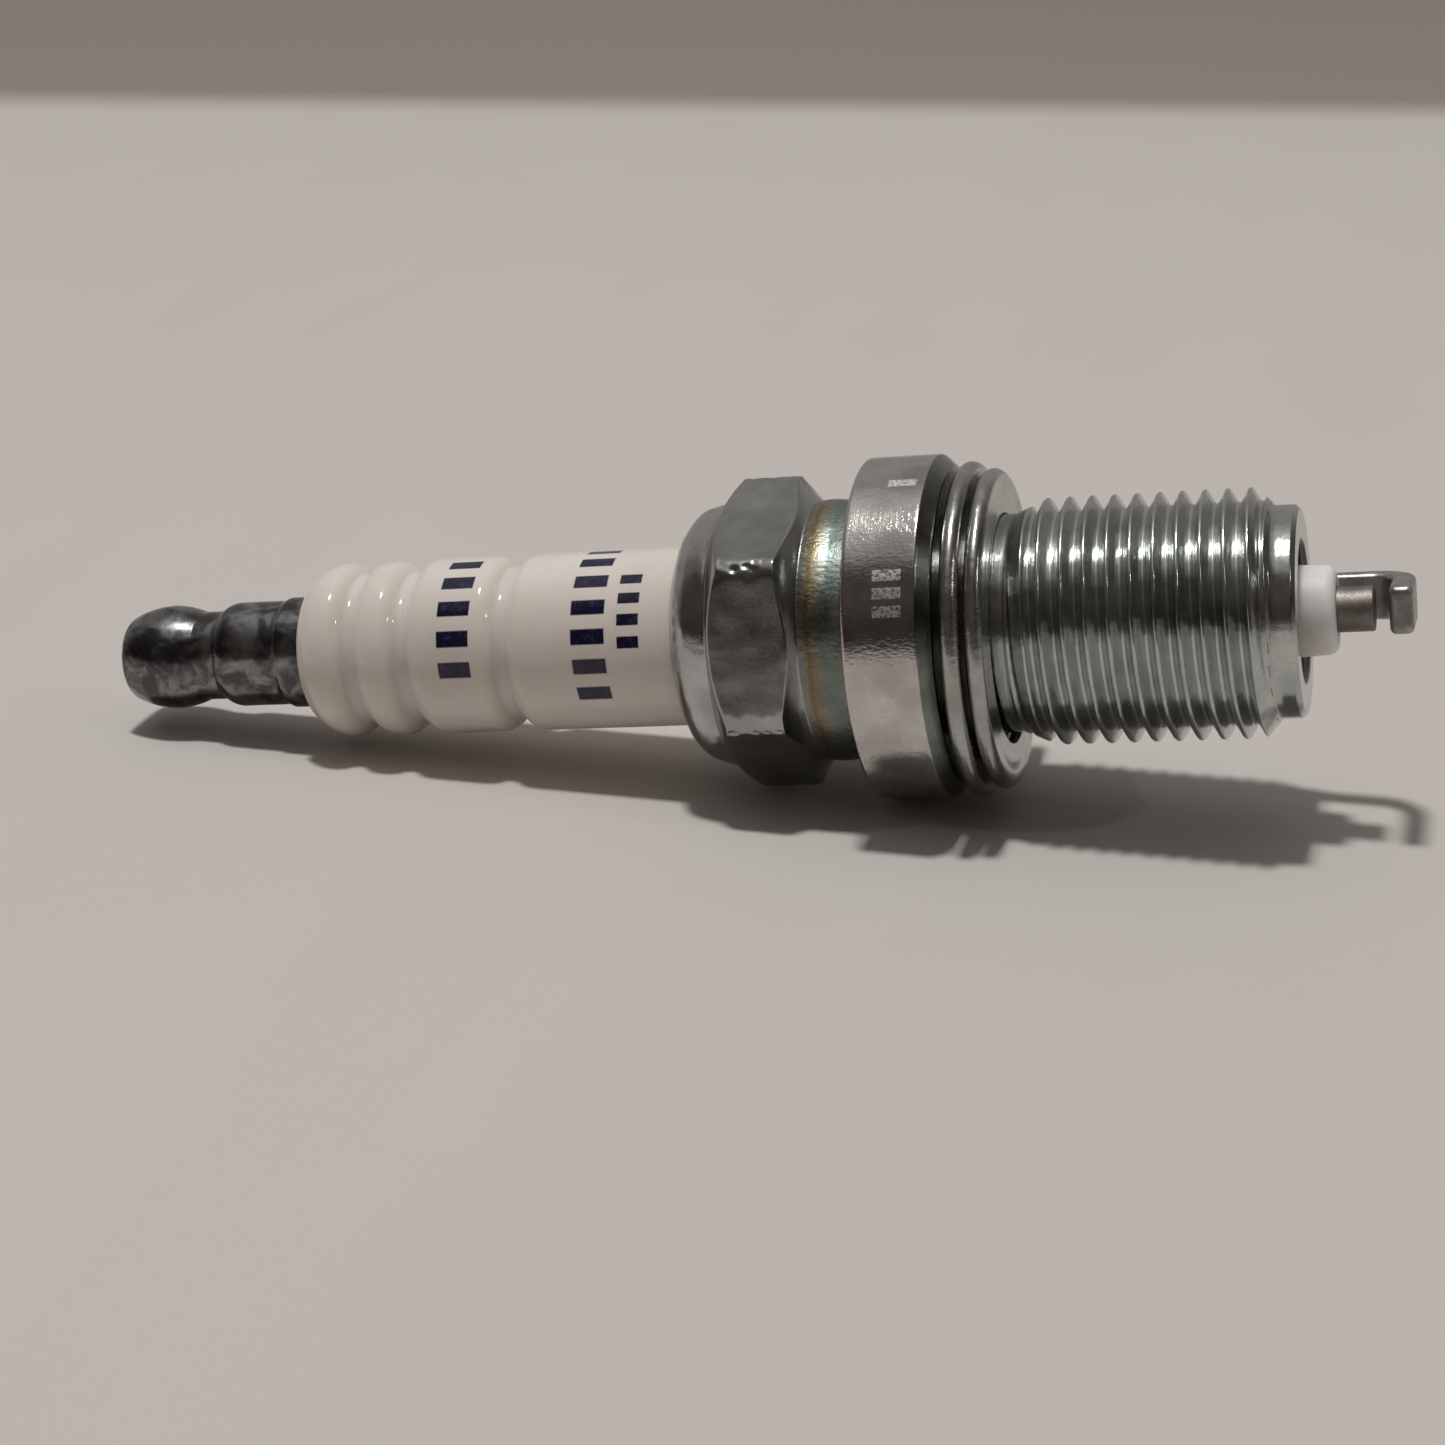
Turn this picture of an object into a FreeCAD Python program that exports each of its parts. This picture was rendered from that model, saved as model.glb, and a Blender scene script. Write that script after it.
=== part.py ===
import FreeCAD, Part
import math
import os
import Sketcher

# Spark plug, M14 x 1.25, 19 mm reach, 16 mm hex, resistor type with an SAE terminal nut.
# +X runs along the axis towards the firing end, +Z is up, and the origin is on the axis in the
# plane of the shell's seat, from which the reach is measured. Positions on the terminal side are
# kept as positive distances from the seat, and enter the sketches with a minus sign.

SIZES = {
    # terminal nut: rounded end, bulb, neck, sleeve and flange
    "nut_end": 51.45,
    "nut_flat_r": 2.1,
    "nut_shoulder": 51.15,
    "nut_shoulder_r": 2.56,
    "nut_shoulder_round": 0.5,
    "bulb_middle": 48.65,
    "bulb_r": 3.14,
    "bulb_round": 5.7,
    "neck_left": 46.75,
    "neck_right": 45.35,
    "neck_r": 2.67,
    "sleeve_left": 44.35,
    "sleeve_round": 1.6,
    "sleeve_right": 41.55,
    "flange_left": 40.95,
    "flange_r": 3.33,
    "flange_round": 0.7,
    "nut_base": 39.32,
    "nut_bore_r": 2.05,
    "nut_bore_end": 49.3,
    "nut_bore_point": 50.3,
    "nut_mouth": 0.3,
    # terminal stud: M4 above the insulator, smooth shank, grooved foot in the glass
    "stud_end": 48.9,
    "stud_chamfer": 0.35,
    "stud_r": 1.97,
    "stud_root_r": 1.55,
    "stud_pitch": 0.7,
    "stud_turns": 12.0,
    "stud_relief_left": 39.7,
    "stud_shank_left": 39.0,
    "stud_shank_r": 2.2,
    "stud_shank_right": 24.0,
    "foot_r": 1.6,
    "foot_groove_r": 1.25,
    "foot_first_groove": 22.6,
    "foot_groove_step": 1.2,
    "foot_groove_width": 0.5,
    "foot_end": 18.0,
    # glass seals and resistor, stacked in the insulator's bore
    "core_r": 2.27,
    "seal_clearance": 0.03,
    "upper_seal_top": 21.6,
    "resistor_top": 16.6,
    "resistor_end": 8.6,
    "lower_seal_end": 3.8,
    # centre electrode with its copper core
    "head_top": 5.2,
    "head_r": 2.1,
    "head_under": 3.4,
    "electrode_start": 2.5,
    "electrode_r": 1.25,
    "electrode_end": 22.8,
    "electrode_edge": 0.08,
    "copper_r": 0.7,
    "copper_gap": 0.02,
    "copper_end": 20.2,
    # insulator
    "insulator_top": 39.25,
    "top_face_r": 3.7,
    "top_edge": 38.75,
    "top_edge_r": 4.5,
    "top_edge_round": 0.95,
    "first_rib": 37.2,
    "top_round": 2.4,
    "barrel_r": 5.18,
    "groove_a": 35.75,
    "groove_b": 32.5,
    "groove_c": 26.35,
    "rib_half": 1.4,
    "rib_round": 1.17,
    "groove_half": 0.3,
    "groove_side_r": 4.4,
    "groove_round": 0.32,
    "shoulder_left": 14.95,
    "shoulder_right": 13.95,
    "shoulder_r": 5.93,
    "shoulder_end": 6.6,
    "waist_start": 5.4,
    "waist_r": 4.75,
    "seat_step": 2.4,
    "nose_root": 3.5,
    "nose_root_r": 3.3,
    "nose_end": 20.8,
    "nose_edge": 20.25,
    "nose_r": 2.46,
    "nose_tip_r": 1.92,
    "nose_round": 0.56,
    "insulator_bore_r": 2.3,
    "bore_step": 3.3,
    "bore_step_end": 2.3,
    "electrode_bore_r": 1.32,
    # shell, outside
    "lip_x": 15.72,
    "lip_r": 5.32,
    "lip_edge": 15.6,
    "lip_edge_r": 5.85,
    "lip_round": 0.6,
    "crease": 14.5,
    "crease_r": 7.25,
    "lip_dome": 2.4,
    "crimp_foot": 13.2,
    "crimp_foot_r": 7.57,
    "crimp_round": 6.0,
    "hex_left": 13.1,
    "hex_right": 7.9,
    "hex_flats": 15.8,
    "hex_clock": 19.0,
    "hex_corner_r": 8.93,
    "hex_face_r": 7.6,
    "hex_chamfer": 1.35,
    "hex_chamfer_crown": 12.0,
    "hex_back_chamfer": 1.15,
    "hex_back_bend": 2.5,
    "shrink_r": 7.42,
    "shrink_bulge": 4.5,
    "shrink_end": 6.35,
    "collar_back": 4.92,
    "collar_round": 0.3,
    "collar_r": 9.72,
    "collar_chamfer": 0.78,
    "relief_r": 6.15,
    "relief_end": 3.4,
    "thread_full": 5.2,
    "thread_r": 6.93,
    "thread_root_r": 6.163,
    "thread_pitch": 1.25,
    "thread_start": 2.99,
    "thread_turns": 12.0,
    "groove_floor": 0.104,
    "groove_mouth": 0.592,
    "cutter_over": 0.08,
    "thread_end": 16.75,
    "pilot_start": 17.65,
    "pilot_r": 5.88,
    "pilot_chamfer": 0.25,
    "reach": 19.0,
    # shell, inside
    "lip_under": 15.45,
    "main_bore_r": 6.05,
    "main_bore_left": 14.45,
    "main_bore_right": 6.3,
    "lower_bore_left": 5.1,
    "lower_bore_r": 4.9,
    "ledge_left": 2.6,
    "ledge_right": 3.4,
    "gas_bore_r": 3.85,
    "gas_chamfer": 0.25,
    # packing ring and seat washer
    "packing_left": 15.35,
    "packing_mid": 14.47,
    "packing_right": 13.97,
    "packing_low": 14.91,
    "packing_in_r": 5.34,
    "packing_out_r": 6.03,
    "washer_in_r": 3.95,
    "washer_out_r": 4.65,
    "washer_in_x": 3.02,
    "washer_out_x": 2.49,
    "washer_width": 0.28,
    # folded gasket: four layers of sheet, two folds outside and one inside
    "gasket_x": 0.38,
    "gasket_drop": 0.3,
    "sheet": 0.4,
    "fold_gap": 0.25,
    "slit": 0.2,
    "back_fold_r": 9.5,
    "front_fold_r": 9.05,
    "fold_round": 0.525,
    "slit_r": 7.45,
    "back_hole_r": 6.8,
    "front_hole_r": 6.5,
    # ground electrode
    "strap_mid_r": 4.9,
    "strap_half": 0.65,
    "strap_width": 2.65,
    "strap_bend": 1.25,
    "strap_outer_bend": 2.55,
    "strap_edge": 0.18,
    "strap_tip": 1.35,
    "strap_clock": -8.5,
    "spark_gap": 0.8,
}

TOUCH = 1e-6
CENTRE = 3

doc = FreeCAD.newDocument("spark_plug")
sheet = doc.addObject("Spreadsheet::Sheet", "Dims")
for row, (alias, size) in enumerate(SIZES.items(), start=1):
    sheet.set("A%d" % row, alias)
    sheet.set("B%d" % row, str(size))
    sheet.setAlias("B%d" % row, alias)
doc.recompute()


def value(text):
    """Number for a sum of aliases such as "-nut_end + sheet"."""
    total = 0.0
    sign = 1.0
    for word in text.replace("-", " - ").replace("+", " + ").split():
        if word == "-":
            sign = -1.0
        elif word == "+":
            sign = 1.0
        elif word == "0":
            sign = 1.0
        else:
            total += sign * SIZES[word]
            sign = 1.0
    return total


def formula(text):
    """The same sum as an expression that reads the sheet."""
    words = text.replace("-", " - ").replace("+", " + ").split()
    return " ".join(word if word in ("-", "+", "0") else "Dims." + word for word in words)


def new_body(label):
    body = doc.addObject("PartDesign::Body", label)
    body.Label = label
    return body


def origin_plane(body, role):
    return next(item for item in body.Origin.OriginFeatures if item.Role == role)


def plane_sketch(body, name, role="XY_Plane"):
    sketch = body.newObject("Sketcher::SketchObject", name)
    sketch.AttachmentSupport = [(origin_plane(body, role), "")]
    sketch.MapMode = "FlatFace"
    return sketch


def arc_edge(start, end, bend, side):
    """Arc from start to end, bulging to the left (+1) or right (-1): bend names its radius, or
    is "half" for a half circle."""
    chord = end.sub(start)
    half = chord.Length / 2.0
    radius = half if bend == "half" else value(bend)
    rise = math.sqrt(max(radius * radius - half * half, 0.0))
    normal = FreeCAD.Vector(-chord.y, chord.x, 0).normalize()
    middle = start.add(end).multiply(0.5)
    centre = middle.sub(normal * (side * rise))
    crown = centre.add(normal * (side * radius))
    return Part.Arc(start, crown, end)


def outline(sketch, corners):
    """Closed outline: each corner is (x, y) or (x, y, bend, side), the last two for an arc that
    leads to this corner from the one before. Every corner is placed by its own dimensions."""
    points = [FreeCAD.Vector(value(corner[0]), value(corner[1]), 0) for corner in corners]
    count = len(corners)
    starts = []
    for index in range(count):
        follower = (index + 1) % count
        corner = corners[follower]
        if len(corner) == 4:
            sketch.addGeometry(arc_edge(points[index], points[follower], corner[2], corner[3]), False)
        else:
            sketch.addGeometry(Part.LineSegment(points[index], points[follower]), False)
        starts.append(1 if sketch.getPoint(index, 1).distanceToPoint(points[index]) < TOUCH else 2)
    for index, corner in enumerate(corners):
        follower = (index + 1) % count
        sketch.addConstraint(
            Sketcher.Constraint("Coincident", index, 3 - starts[index], follower, starts[follower]))
        place_point(sketch, index, starts[index], corner)
    for index in range(count):
        corner = corners[(index + 1) % count]
        if len(corner) == 4 and corner[2] == "half":
            place_point(sketch, index, CENTRE, (None, corner[1]))
        elif len(corner) == 4:
            radius = sketch.addConstraint(Sketcher.Constraint("Radius", index, value(corner[2])))
            sketch.setExpression("Constraints[%d]" % radius, formula(corner[2]))


def place_point(sketch, edge, end, corner):
    for kind, axis, text in (("DistanceX", -2, corner[0]), ("DistanceY", -1, corner[1])):
        if text is None:
            continue
        number = value(text)
        if text == "0":
            sketch.addConstraint(Sketcher.Constraint("PointOnObject", edge, end, axis))
        elif number > 0:
            tag = sketch.addConstraint(Sketcher.Constraint(kind, -1, 1, edge, end, number))
            sketch.setExpression("Constraints[%d]" % tag, formula(text))
        else:
            tag = sketch.addConstraint(Sketcher.Constraint(kind, edge, end, -1, 1, -number))
            sketch.setExpression("Constraints[%d]" % tag, "-(" + formula(text) + ")")


def revolve(body, name, corners, kind="PartDesign::Revolution"):
    """Outline in the XY plane turned about the plug's axis."""
    sketch = plane_sketch(body, name + "_profile")
    outline(sketch, corners)
    feature = body.newObject(kind, name)
    feature.Profile = sketch
    feature.ReferenceAxis = (sketch, ["H_Axis"])
    feature.Angle = 360.0
    body.Tip = feature
    doc.recompute()
    return feature


def thread_cut(body, name, corners, pitch, turns):
    """Helical groove about the axis, right-handed."""
    sketch = plane_sketch(body, name + "_profile")
    outline(sketch, corners)
    doc.recompute()
    before = body.Shape.Volume
    feature = body.newObject("PartDesign::SubtractiveHelix", name)
    feature.Profile = sketch
    feature.ReferenceAxis = (sketch, ["H_Axis"])
    feature.Mode = 1
    feature.setExpression("Pitch", formula(pitch))
    feature.setExpression("Turns", formula(turns))
    feature.LeftHanded = False
    feature.Reversed = False
    body.Tip = feature
    doc.recompute()
    print(name, "removed", round(before - body.Shape.Volume, 3), "mm3")
    return feature


def terminal_nut():
    body = new_body("terminal_nut")
    revolve(body, "nut_turning", [
        ("-nut_end", "0"),
        ("-nut_end", "nut_flat_r"),
        ("-nut_shoulder", "nut_shoulder_r", "nut_shoulder_round", 1),
        ("-bulb_middle", "bulb_r", "bulb_round", 1),
        ("-neck_left", "neck_r", "bulb_round", 1),
        ("-neck_right", "neck_r"),
        ("-sleeve_left", "bulb_r", "sleeve_round", 1),
        ("-sleeve_right", "bulb_r"),
        ("-flange_left", "flange_r", "flange_round", -1),
        ("-nut_base", "flange_r"),
        ("-nut_base", "nut_bore_r + nut_mouth"),
        ("-nut_base - nut_mouth", "nut_bore_r"),
        ("-nut_bore_end", "nut_bore_r"),
        ("-nut_bore_point", "0"),
    ])
    return body


def terminal_stud():
    body = new_body("terminal_stud")
    foot = []
    for index in range(3):
        left = "-foot_first_groove" + " + foot_groove_step" * index
        foot += [
            (left, "foot_r"),
            (left, "foot_groove_r"),
            (left + " + foot_groove_width", "foot_groove_r"),
            (left + " + foot_groove_width", "foot_r"),
        ]
    revolve(body, "stud_turning", [
        ("-stud_end", "0"),
        ("-stud_end", "stud_r - stud_chamfer"),
        ("-stud_end + stud_chamfer", "stud_r"),
        ("-stud_relief_left", "stud_r"),
        ("-stud_relief_left", "stud_root_r"),
        ("-stud_shank_left", "stud_root_r"),
        ("-stud_shank_left", "stud_shank_r"),
        ("-stud_shank_right", "stud_shank_r"),
        ("-stud_shank_right", "foot_r"),
    ] + foot + [
        ("-foot_end", "foot_r"),
        ("-foot_end", "0"),
    ])
    thread_cut(body, "stud_thread", [
        ("-stud_end - stud_chamfer", "stud_root_r"),
        ("-stud_end - stud_chamfer - stud_chamfer + cutter_over", "stud_r + cutter_over"),
        ("-stud_end + cutter_over + cutter_over", "stud_r + cutter_over"),
    ], "stud_pitch", "stud_turns")
    return body


def core_disc(label, corners):
    body = new_body(label)
    revolve(body, label + "_turning", corners)
    return body


def core_stack():
    """Glass, resistor and glass, pressed one on the other in the insulator's bore."""
    return [
        core_disc("upper_glass_seal", [
            ("-upper_seal_top", "foot_r + seal_clearance"),
            ("-upper_seal_top", "core_r"),
            ("-resistor_top", "core_r"),
            ("-resistor_top", "0"),
            ("-foot_end + seal_clearance", "0"),
            ("-foot_end + seal_clearance", "foot_r + seal_clearance"),
        ]),
        core_disc("resistor", [
            ("-resistor_top", "0"),
            ("-resistor_top", "core_r"),
            ("-resistor_end", "core_r"),
            ("-resistor_end", "0"),
        ]),
        core_disc("lower_glass_seal", [
            ("-resistor_end", "0"),
            ("-resistor_end", "core_r"),
            ("-lower_seal_end", "core_r"),
            ("-lower_seal_end", "head_r + seal_clearance"),
            ("-head_top - seal_clearance", "head_r + seal_clearance"),
            ("-head_top - seal_clearance", "0"),
        ]),
    ]


def centre_electrode():
    body = new_body("centre_electrode")
    revolve(body, "electrode_turning", [
        ("-head_top", "copper_r + copper_gap"),
        ("-head_top", "head_r"),
        ("-head_under", "head_r"),
        ("-electrode_start", "electrode_r"),
        ("electrode_end - electrode_edge", "electrode_r"),
        ("electrode_end", "electrode_r - electrode_edge"),
        ("electrode_end", "0"),
        ("copper_end + copper_gap", "0"),
        ("copper_end + copper_gap", "copper_r + copper_gap"),
    ])
    core = core_disc("copper_core", [
        ("-head_top", "0"),
        ("-head_top", "copper_r"),
        ("copper_end", "copper_r"),
        ("copper_end", "0"),
    ])
    return [body, core]


def rib_groove(centre):
    """One round-bottomed groove between two ribs, from crest to crest."""
    return [
        ("-" + centre + " - rib_half", "barrel_r"),
        ("-" + centre + " - groove_half", "groove_side_r", "rib_round", 1),
        ("-" + centre + " + groove_half", "groove_side_r", "groove_round", -1),
        ("-" + centre + " + rib_half", "barrel_r", "rib_round", 1),
    ]


def insulator():
    body = new_body("insulator")
    revolve(body, "insulator_turning", [
        ("-insulator_top", "insulator_bore_r"),
        ("-insulator_top", "top_face_r"),
        ("-top_edge", "top_edge_r", "top_edge_round", 1),
        ("-first_rib", "barrel_r", "top_round", 1),
    ] + rib_groove("groove_a") + rib_groove("groove_b") + rib_groove("groove_c") + [
        ("-shoulder_left", "barrel_r"),
        ("-shoulder_right", "shoulder_r"),
        ("-shoulder_end", "shoulder_r"),
        ("-waist_start", "waist_r"),
        ("seat_step", "waist_r"),
        ("nose_root", "nose_root_r"),
        ("nose_edge", "nose_r"),
        ("nose_end", "nose_tip_r", "nose_round", 1),
        ("nose_end", "electrode_bore_r"),
        ("-bore_step_end", "electrode_bore_r"),
        ("-bore_step", "insulator_bore_r"),
    ])
    return body


def shell_blank(body):
    """Solid turning of the shell without its hex."""
    revolve(body, "shell_turning", [
        ("-lip_x", "0"),
        ("-lip_x", "lip_r"),
        ("-lip_edge", "lip_edge_r", "lip_round", 1),
        ("-crease", "crease_r", "lip_dome", 1),
        ("-crimp_foot", "crimp_foot_r", "crimp_round", 1),
        ("-hex_left", "hex_face_r"),
        ("-hex_right", "shrink_r"),
        ("-shrink_end", "shrink_r", "shrink_bulge", 1),
        ("-collar_back", "shrink_r"),
        ("-collar_back", "collar_r - collar_round"),
        ("-collar_back + collar_round", "collar_r", "collar_round", 1),
        ("-collar_chamfer", "collar_r"),
        ("0", "collar_r - collar_chamfer"),
        ("0", "relief_r"),
        ("relief_end", "relief_r"),
        ("thread_full", "thread_r"),
        ("thread_end", "thread_r"),
        ("pilot_start", "pilot_r"),
        ("reach - pilot_chamfer", "pilot_r"),
        ("reach", "pilot_r - pilot_chamfer"),
        ("reach", "0"),
    ])


def shell_hex(body):
    """Hex with its corners turned down, chamfered at the crimp end and hollowed at the neck end."""
    prism = body.newObject("PartDesign::AdditivePrism", "hex_prism")
    prism.Polygon = 6
    prism.setExpression("Circumradius", "Dims.hex_flats / sqrt(3)")
    prism.setExpression("Height", "Dims.hex_left - Dims.hex_right")
    prism.AttachmentSupport = [(origin_plane(body, "YZ_Plane"), "")]
    prism.MapMode = "FlatFace"
    prism.setExpression("AttachmentOffset.Base.z", "-Dims.hex_left")
    prism.setExpression("AttachmentOffset.Rotation.Angle", "Dims.hex_clock")
    body.Tip = prism
    doc.recompute()
    revolve(body, "hex_chamfers", [
        ("-hex_left - cutter_over", "hex_face_r"),
        ("-hex_left", "hex_face_r"),
        ("-hex_left + hex_chamfer", "hex_corner_r", "hex_chamfer_crown", 1),
        ("-hex_right - hex_back_chamfer", "hex_corner_r"),
        ("-hex_right", "shrink_r", "hex_back_bend", -1),
        ("-hex_right + cutter_over", "shrink_r"),
        ("-hex_right + cutter_over", "hex_flats"),
        ("-hex_left - cutter_over", "hex_flats"),
    ], "PartDesign::Groove")


def shell_bore(body):
    revolve(body, "shell_bore", [
        ("-lip_x - cutter_over", "0"),
        ("-lip_x - cutter_over", "lip_r"),
        ("-lip_under", "lip_r"),
        ("-main_bore_left", "main_bore_r"),
        ("-main_bore_right", "main_bore_r"),
        ("-lower_bore_left", "lower_bore_r"),
        ("ledge_left", "lower_bore_r"),
        ("ledge_right", "gas_bore_r"),
        ("reach - gas_chamfer", "gas_bore_r"),
        ("reach", "gas_bore_r + gas_chamfer"),
        ("reach + cutter_over", "gas_bore_r + gas_chamfer"),
        ("reach + cutter_over", "0"),
    ], "PartDesign::Groove")


def shell():
    """One steel piece: crimp lip, hex, shrunk neck, collar, relief, thread and pilot."""
    body = new_body("shell")
    shell_blank(body)
    shell_hex(body)
    shell_bore(body)
    thread_cut(body, "shell_thread", [
        ("thread_start - groove_floor", "thread_root_r"),
        ("thread_start - groove_mouth", "thread_r + cutter_over"),
        ("thread_start + groove_mouth", "thread_r + cutter_over"),
        ("thread_start + groove_floor", "thread_root_r"),
    ], "thread_pitch", "thread_turns")
    return body


def packing_ring():
    """Wire ring squeezed between the crimp lip and the insulator's shoulder."""
    body = new_body("packing_ring")
    revolve(body, "packing_ring_turning", [
        ("-packing_left", "packing_in_r"),
        ("-packing_mid", "packing_out_r"),
        ("-packing_right", "packing_out_r"),
        ("-packing_low", "packing_in_r"),
    ])
    return body


def seat_washer():
    """Soft washer between the shell's inner ledge and the insulator's seat step."""
    body = new_body("seat_washer")
    revolve(body, "seat_washer_turning", [
        ("washer_in_x", "washer_in_r"),
        ("washer_out_x", "washer_out_r"),
        ("washer_out_x + washer_width", "washer_out_r"),
        ("washer_in_x + washer_width", "washer_in_r"),
    ])
    return body


def gasket():
    """Sheet folded in a double S: outside, two rounded rims with a slit between them."""
    body = new_body("gasket")
    layer_2 = "gasket_x + sheet + fold_gap"
    layer_3 = layer_2 + " + sheet + slit"
    layer_4 = layer_3 + " + sheet + fold_gap"
    revolve(body, "gasket_spinning", [
        ("gasket_x", "back_hole_r"),
        ("gasket_x", "back_fold_r - fold_round"),
        (layer_2 + " + sheet", "back_fold_r - fold_round", "half", 1),
        (layer_2 + " + sheet", "slit_r"),
        (layer_3, "slit_r", "half", -1),
        (layer_3, "front_fold_r - fold_round"),
        (layer_4 + " + sheet", "front_fold_r - fold_round", "half", 1),
        (layer_4 + " + sheet", "front_hole_r"),
        (layer_4, "front_hole_r"),
        (layer_4, "front_fold_r - fold_round"),
        (layer_3 + " + sheet", "front_fold_r - fold_round", "half", -1),
        (layer_3 + " + sheet", "slit_r"),
        (layer_2, "slit_r", "half", 1),
        (layer_2, "back_fold_r - fold_round"),
        ("gasket_x + sheet", "back_fold_r - fold_round", "half", -1),
        ("gasket_x + sheet", "back_hole_r"),
    ])
    body.setExpression("Placement.Base.z", "-Dims.gasket_drop")
    return body


def ground_electrode():
    """Strap drawn with its leg above the axis, then turned about the axis to its weld."""
    body = new_body("ground_electrode")
    sketch = plane_sketch(body, "strap_side")
    inner = "strap_mid_r - strap_half"
    outer = "strap_mid_r + strap_half"
    near = "electrode_end + spark_gap"
    far = near + " + strap_half + strap_half"
    outline(sketch, [
        ("reach", inner),
        ("reach", outer),
        (far + " - strap_bend - strap_half - strap_half", outer),
        (far, outer + " - strap_bend - strap_half - strap_half", "strap_outer_bend", 1),
        (far, "-strap_tip"),
        (near, "-strap_tip"),
        (near, inner + " - strap_bend"),
        (near + " - strap_bend", inner, "strap_bend", -1),
    ])
    pad = body.newObject("PartDesign::Pad", "strap")
    pad.Profile = sketch
    pad.Midplane = True
    pad.setExpression("Length", "Dims.strap_width")
    body.Tip = pad
    doc.recompute()
    half = SIZES["strap_width"] / 2.0
    long_edges = []
    for number, edge in enumerate(pad.Shape.Edges, start=1):
        on_side = all(abs(abs(vertex.Z) - half) < 1e-6 for vertex in edge.Vertexes)
        on_weld = all(abs(vertex.X - SIZES["reach"]) < 1e-6 for vertex in edge.Vertexes)
        if on_side and not on_weld and abs(edge.BoundBox.ZLength) < 1e-6:
            long_edges.append("Edge%d" % number)
    rounding = body.newObject("PartDesign::Fillet", "strap_edges")
    rounding.Base = (pad, long_edges)
    rounding.setExpression("Radius", "Dims.strap_edge")
    body.Tip = rounding
    body.Placement = FreeCAD.Placement(
        FreeCAD.Vector(0, 0, 0), FreeCAD.Rotation(FreeCAD.Vector(1, 0, 0), SIZES["strap_clock"]))
    body.setExpression("Placement.Rotation.Angle", "Dims.strap_clock")
    return body


def main():
    pieces = [terminal_nut(), terminal_stud(), insulator()]
    pieces += core_stack()
    pieces += centre_electrode()
    pieces += [shell(), packing_ring(), seat_washer(), gasket(), ground_electrode()]
    doc.recompute()
    for item in doc.Objects:
        if {"Invalid", "Error"} & set(item.State):
            raise RuntimeError("failed: " + item.Name + " " + str(item.State))
    for piece in pieces:
        if piece.Shape.isNull() or not piece.Shape.isValid() or len(piece.Shape.Solids) != 1:
            raise RuntimeError("bad shape: " + piece.Label)
    os.makedirs("parts", exist_ok=True)
    for piece in pieces:
        box = piece.Shape.optimalBoundingBox()
        print(piece.Label, round(piece.Shape.Volume, 2), box)
        piece.Shape.exportStep("parts/%s.step" % piece.Label)


main()
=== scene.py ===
"""Looks of the spark plug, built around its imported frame.

Outlines are in millimetres as (X, radius) in the part's own frame: X runs along the plug
towards the firing end, and the gasket seat is at X = 0. Everything else is in metres.
"""

import math

import bmesh
import bpy
import numpy as np
from mathutils import Matrix, Vector


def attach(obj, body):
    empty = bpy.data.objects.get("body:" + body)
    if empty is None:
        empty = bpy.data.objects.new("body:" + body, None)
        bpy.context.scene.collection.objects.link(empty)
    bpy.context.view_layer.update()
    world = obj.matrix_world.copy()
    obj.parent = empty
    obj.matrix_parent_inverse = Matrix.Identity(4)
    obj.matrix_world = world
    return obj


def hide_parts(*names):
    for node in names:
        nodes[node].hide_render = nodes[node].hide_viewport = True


MM = 0.001
WELD_MM = 2e-4
ARC_STEP = 0.16
SUPPORT = 1.7

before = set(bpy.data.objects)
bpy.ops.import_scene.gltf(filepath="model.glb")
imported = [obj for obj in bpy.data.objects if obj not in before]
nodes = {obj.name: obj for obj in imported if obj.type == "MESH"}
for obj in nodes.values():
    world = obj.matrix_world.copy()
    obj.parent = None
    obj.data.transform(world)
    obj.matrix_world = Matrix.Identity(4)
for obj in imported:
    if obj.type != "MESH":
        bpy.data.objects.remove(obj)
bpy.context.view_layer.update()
scene = bpy.context.scene


# ---------------------------------------------------------------- outlines and meshes


def arc(start, end, radius, side):
    """Points from start to end on an arc that bulges to the left of its travel when side is 1."""
    start, end = np.array(start, float), np.array(end, float)
    chord = end - start
    length = np.hypot(*chord)
    left = np.array([-chord[1], chord[0]]) / length
    height = math.sqrt(max(radius * radius - length * length / 4, 0.0))
    centre = (start + end) / 2 - left * height * side
    first = math.atan2(*(start - centre)[::-1])
    last = math.atan2(*(end - centre)[::-1])
    sweep = (last - first + math.pi) % (2 * math.pi) - math.pi
    if abs(abs(sweep) - math.pi) < 1e-6:
        sweep = -side * math.pi
    count = max(5, int(abs(sweep) * radius / ARC_STEP) + 1, int(abs(sweep) / ARC_STEP) + 1)
    angles = first + sweep * np.arange(1, count + 1) / count
    points = centre + radius * np.stack([np.cos(angles), np.sin(angles)], 1)
    points[-1] = end
    return list(points)


def outline(*corners):
    """Polyline through corners (x, r) and arcs (x, r, radius, side)."""
    points = [np.array(corners[0][:2], float)]
    for corner in corners[1:]:
        if len(corner) == 4:
            points += arc(points[-1], corner[:2], corner[2], corner[3])
        else:
            points.append(np.array(corner, float))
    return np.array(points)


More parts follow.
